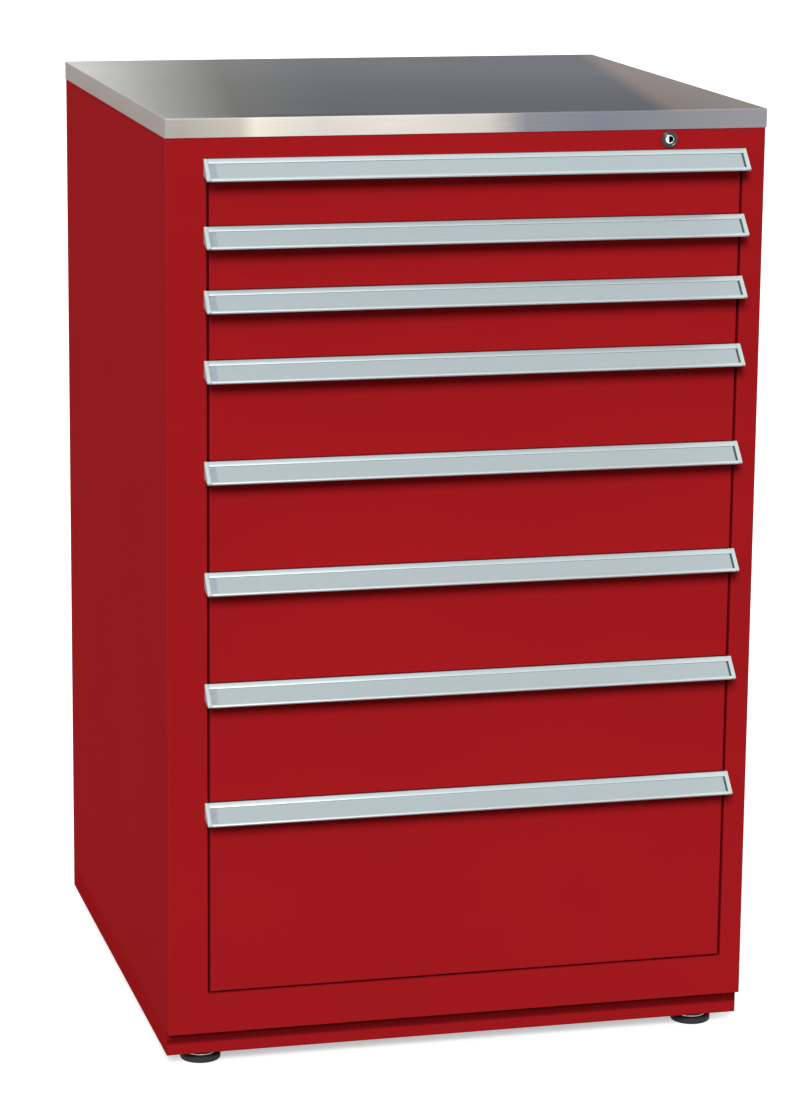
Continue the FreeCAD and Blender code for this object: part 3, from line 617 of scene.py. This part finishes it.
# Painted reflections on the front and back edges from left to right.
EDGE_PAINTED_REFLECTIONS = (
    (-0.36, (0.37, 0.345, 0.32)),
    (-0.29, (0.50, 0.455, 0.40)),
    (-0.27, (0.74, 0.69, 0.60)),
    (-0.19, (0.60, 0.565, 0.53)),
    (-0.10, (0.66, 0.62, 0.57)),
    (0.02, (0.56, 0.53, 0.49)),
    (0.07, (0.235, 0.235, 0.265)),
    (0.16, (0.195, 0.205, 0.24)),
    (0.36, (0.265, 0.265, 0.28)),
)
# A lighter painted reflection on the left and right flaps.
SIDE_PAINTED_REFLECTION = (0.52, 0.465, 0.445)
BOARD_BROWN = (0.36, 0.24, 0.13)

top_low, top_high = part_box("stainless_top")
bpy.ops.object.select_all(action="DESELECT")
bpy.ops.mesh.primitive_cube_add(size=1, location=(top_low + top_high) / 2)
steel_top = bpy.context.object
steel_top.name = "steel_top"
steel_top.data.name = "steel_top"
steel_top.scale = top_high - top_low
settle(steel_top)
pick_faces(steel_top, lambda middle, way: way.z < -0.9)
bpy.ops.mesh.delete(type="FACE")
bpy.ops.object.mode_set(mode="OBJECT")
pick_edges(steel_top, lambda middle, way: middle.z > top_high.z - TOUCH)
bpy.ops.mesh.bevel(offset=FOLD_ROUND, segments=4, affect="EDGES")
bpy.ops.object.mode_set(mode="OBJECT")
pick_edges(steel_top, lambda middle, way: abs(way.z) > 0.99)
bpy.ops.mesh.bevel(offset=SEAM_CUT, segments=1, affect="EDGES")
bpy.ops.object.mode_set(mode="OBJECT")
pick_faces(steel_top,
           lambda middle, way: abs(way.z) < 0.1 and abs(abs(way.x) - abs(way.y)) < 0.1)
bpy.ops.mesh.delete(type="FACE")
bpy.ops.object.mode_set(mode="OBJECT")
skin = steel_top.modifiers.new("skin", "SOLIDIFY")
skin.thickness = SKIN
skin.offset = -1
skin.use_even_offset = True
bpy.ops.object.modifier_apply(modifier=skin.name)
smooth(steel_top, 30)

stainless, shader, place = finish_of(
    "brushed_stainless", STEEL_GREY, metallic=0.6, roughness=0.36, specular=0.0)
shader.inputs["Specular Tint"].default_value = (0.1, 0.1, 0.1, 1)
# The steel's colour carries painted reflections: tones along the top, along the front and back edges,
# and a lighter tone on the left and right flaps.
sideways = linked(stainless, "ShaderNodeMath", operation="ABSOLUTE")
join_up(stainless, (along(stainless, normal_of(stainless), (1, 0, 0)), sideways.inputs[0]))
on_side = past(stainless, sideways.outputs[0], 0.7)
on_top = past(stainless, along(stainless, normal_of(stainless), (0, 0, 1)), 0.5)
reflection_line = linked(stainless, "ShaderNodeMath", operation="ADD")
reflection_line.inputs[1].default_value = REFLECTION_LEAN * -top_low.y
join_up(stainless, (along(stainless, place, (1, REFLECTION_LEAN, 0)), reflection_line.inputs[0]))
top_painted_reflection = tones_along(stainless, reflection_line.outputs[0], TOP_PAINTED_REFLECTIONS)
edge_painted_reflection = tones_along(stainless, along(stainless, place, (1, 0, 0)), EDGE_PAINTED_REFLECTIONS)
upright_painted_reflection = blend_of(stainless, on_side, edge_painted_reflection, plain(stainless, SIDE_PAINTED_REFLECTION))
steel_painted_reflection = blend_of(stainless, on_top, upright_painted_reflection, top_painted_reflection)

grain_along_x = drawn_out(stainless, place, (0.010, 1.0, 1.0))
grain_along_y = drawn_out(stainless, place, (1.0, 0.010, 1.0))
grain_place = blend_of(stainless, on_side, grain_along_x, grain_along_y)
grain = noise_on(stainless, grain_place, 1500.0, detail=4.0, roughness=0.65)
grain_share = linked(stainless, "ShaderNodeMapRange",
                     From_Min=0.25, From_Max=0.75, To_Min=0.90, To_Max=1.08)
tinted = linked(stainless, "ShaderNodeVectorMath", operation="SCALE")
join_up(
    stainless,
    (grain, grain_share.inputs["Value"]),
    (steel_painted_reflection, tinted.inputs[0]),
    (grain_share.outputs[0], tinted.inputs["Scale"]),
    (tinted.outputs[0], shader.inputs["Base Color"]),
)
smear = noise_on(stainless, place, 5.0, detail=3.0, roughness=0.6)
uneven_gloss(stainless, shader, smear, smoothest=0.3, roughest=0.44)
relief(stainless, shader, grain, strength=0.06, depth=0.0001)
hang(steel_top, stainless, "cabinet", "stainless", "stainless_top")

board, shader, place = finish_of(
    "particle_board", BOARD_BROWN, metallic=0.0, roughness=0.85, specular=0.2)
chips = cells_on(board, place, 420.0)
dust = noise_on(board, place, 1100.0, detail=3.0)
two_tones(board, shader, chips, BOARD_BROWN, darker=0.6, lighter=1.35, low=0.1, high=0.9)
relief(board, shader, dust, strength=0.3, depth=0.0005)
dress(board, "top_board")


# Studio: a plain pale floor that keeps the soft shadow, in a white surround. A key lamp stands high
# in front, and wide soft lamps fill from the left, the right and the back.
FLOOR_SIZE = 60.0
FLOOR_BOUNCE = 0.16
FLOOR_SEEN = 0.85
FLOOR_GLOW = 0.50
SURROUND = 0.11


def white_where_seen(setting, dim, white, target):
    """Give a dim shader to the light that bounces, and a white one to the camera and reflections."""
    rays = linked(setting, "ShaderNodeLightPath")
    reflected = linked(setting, "ShaderNodeMath", operation="MAXIMUM")
    seen = linked(setting, "ShaderNodeMath", operation="MAXIMUM")
    mix = linked(setting, "ShaderNodeMixShader")
    join_up(
        setting,
        (rays.outputs["Is Glossy Ray"], reflected.inputs[0]),
        (rays.outputs["Is Transmission Ray"], reflected.inputs[1]),
        (rays.outputs["Is Camera Ray"], seen.inputs[0]),
        (reflected.outputs[0], seen.inputs[1]),
        (seen.outputs[0], mix.inputs[0]),
        (dim, mix.inputs[1]),
        (white, mix.inputs[2]),
        (mix.outputs[0], target),
    )


def matt(material, grey):
    """A matt shader of one grey."""
    return linked(material, "ShaderNodeBsdfDiffuse", Color=(grey, grey, grey, 1)).outputs[0]


bpy.ops.object.select_all(action="DESELECT")
bpy.ops.mesh.primitive_plane_add(size=FLOOR_SIZE, location=(0, 0, 0))
floor = bpy.context.object
floor.name = "studio_floor"
paper = bpy.data.materials.new("studio_paper")
paper.use_nodes = True
glow = linked(paper, "ShaderNodeEmission", Strength=FLOOR_GLOW)
bright_paper = linked(paper, "ShaderNodeAddShader")
join_up(paper, (matt(paper, FLOOR_SEEN), bright_paper.inputs[0]),
        (glow.outputs[0], bright_paper.inputs[1]))
white_where_seen(paper, matt(paper, FLOOR_BOUNCE), bright_paper.outputs[0],
                 paper.node_tree.nodes["Material Output"].inputs["Surface"])
floor.data.materials.append(paper)

world = bpy.data.worlds.new("studio_surround")
bpy.context.scene.world = world
world.use_nodes = True
dim_air = world.node_tree.nodes["Background"]
dim_air.inputs["Color"].default_value = (1, 1, 1, 1)
dim_air.inputs["Strength"].default_value = SURROUND
white_air = linked(world, "ShaderNodeBackground", Color=(1, 1, 1, 1), Strength=1.0)
white_where_seen(world, dim_air.outputs[0], white_air.outputs[0],
                 world.node_tree.nodes["World Output"].inputs["Surface"])


def far_lamp(name, azimuth, elevation, spread, strength):
    """A large lamp far away, given by where it stands round the cabinet and how wide it looks."""
    lamp = bpy.data.lights.new(name, "SUN")
    lamp.energy = strength
    lamp.angle = math.radians(spread)
    stand = bpy.data.objects.new(name, lamp)
    bpy.context.scene.collection.objects.link(stand)
    stand.rotation_euler = (math.radians(90 - elevation), 0, math.radians(azimuth))


far_lamp("key_light", azimuth=-16, elevation=34, spread=24, strength=2.86)
far_lamp("left_fill", azimuth=-88, elevation=14, spread=60, strength=1.48)
far_lamp("right_fill", azimuth=100, elevation=18, spread=90, strength=1.4)
far_lamp("back_fill", azimuth=175, elevation=30, spread=90, strength=1.0)


# Camera: the photograph's view, from the left and slightly above, through a long lens that stands
# about five metres away. Its lens has no shift, so other views stay in the frame.
LENS_PIXELS = 3743.8
PHOTO_HIGH = 1110.0
SENSOR = 36.0
FAR_CLIP = 60.0
CAMERA_SPOT = Vector((-1.2067, -4.7691, 1.6908))
CAMERA_YAW = math.radians(14.346)
CAMERA_PITCH = math.radians(12.770)
CAMERA_ROLL = math.radians(0.575)

camera_data = bpy.data.cameras.new("photo_camera")
camera_data.sensor_width = SENSOR
camera_data.lens = LENS_PIXELS / PHOTO_HIGH * SENSOR
camera_data.clip_end = FAR_CLIP
camera = bpy.data.objects.new("photo_camera", camera_data)
bpy.context.scene.collection.objects.link(camera)
bpy.context.scene.camera = camera
ahead = Vector((
    math.sin(CAMERA_YAW) * math.cos(CAMERA_PITCH),
    math.cos(CAMERA_YAW) * math.cos(CAMERA_PITCH),
    -math.sin(CAMERA_PITCH),
))
level_right = Vector((math.cos(CAMERA_YAW), -math.sin(CAMERA_YAW), 0))
level_up = level_right.cross(ahead)
right = math.cos(CAMERA_ROLL) * level_right + math.sin(CAMERA_ROLL) * level_up
up = math.cos(CAMERA_ROLL) * level_up - math.sin(CAMERA_ROLL) * level_right
turn = Matrix((right, up, -ahead)).transposed().to_4x4()
camera.matrix_world = Matrix.Translation(CAMERA_SPOT) @ turn

bpy.context.scene.view_settings.view_transform = "Standard"
